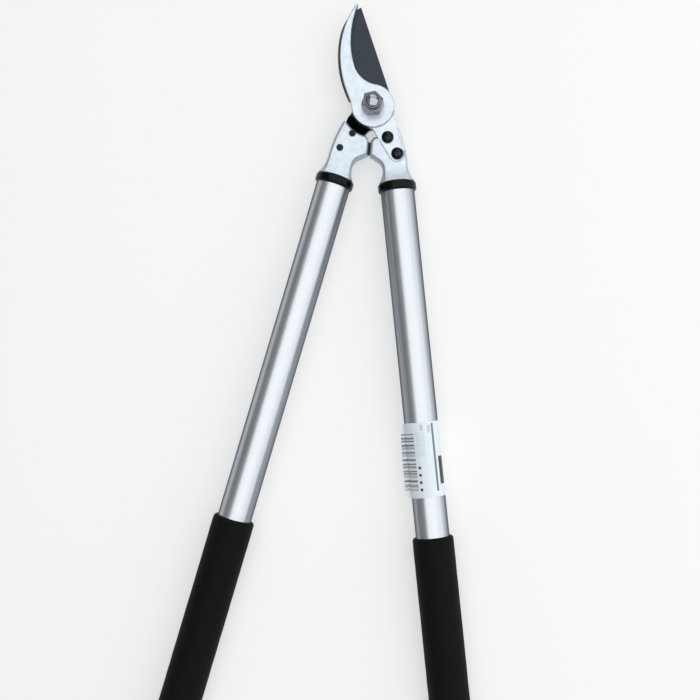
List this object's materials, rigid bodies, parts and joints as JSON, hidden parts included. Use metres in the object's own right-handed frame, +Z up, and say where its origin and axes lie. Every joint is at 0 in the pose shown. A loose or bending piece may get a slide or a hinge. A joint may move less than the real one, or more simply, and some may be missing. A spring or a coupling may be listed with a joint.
{
  "type": "bypass loppers",
  "caption": "Long-handled bypass loppers with a curved hook jaw, a coated cutting blade, forged brackets, round tube handles and foam grips; the handles open about a pivot bolt.",
  "frame": {"origin": "middle of the closed tool's outline, on the surface that its two grips lie on", "axes": "+Y from the grips to the jaw tips along the middle line, +X to the right seen from above, +Z up, square to the plane in which the jaws move"},
  "size_m": [0.3048, 0.7, 0.0414],
  "materials": {
    "bracket_metal": "satin, forged and lightly polished",
    "hook_metal": "satin silver coat",
    "blade_coating": "satin dark non-stick coat, ground bevel",
    "tube_metal": "satin anodised",
    "collar_plastic": "moulded, slight sheen",
    "grip_foam": "closed-cell foam, fine cells",
    "cap_plastic": "moulded, matte",
    "bumper_rubber": "smooth, matte",
    "dark_steel": "black oxide",
    "pivot_steel": "zinc plated",
    "nylon": "smooth",
    "label_paper": "satin printed film"
  },
  "bodies": {
    "hook_half": {"hook": "hook_metal", "bracket_right": "bracket_metal", "bumper_right": "bumper_rubber", "collar_right": "collar_plastic", "tube_right": "tube_metal", "grip_right": "grip_foam", "end_cap_right": "cap_plastic", "hook_screw_upper": "dark_steel", "hook_screw_lower": "dark_steel", "washer_front": "pivot_steel", "washer_back": "pivot_steel", "pivot_bolt": "pivot_steel", "pivot_nut": "pivot_steel", "nylon_ring": "nylon", "label": "label_paper"},
    "blade_half": {"cutting_blade": "blade_coating", "bracket_left": "bracket_metal", "bumper_left": "bumper_rubber", "collar_left": "collar_plastic", "tube_left": "tube_metal", "grip_left": "grip_foam", "end_cap_left": "cap_plastic", "blade_screw_upper": "dark_steel", "blade_screw_lower": "dark_steel"}
  },
  "joints": [
    {"name": "blade_pivot", "type": "hinge", "parent": "hook_half", "child": "blade_half", "pos_m": [0, 0.262, 0.0184], "axis": [0, 0, -1], "range_deg": [0, 52]}
  ]
}
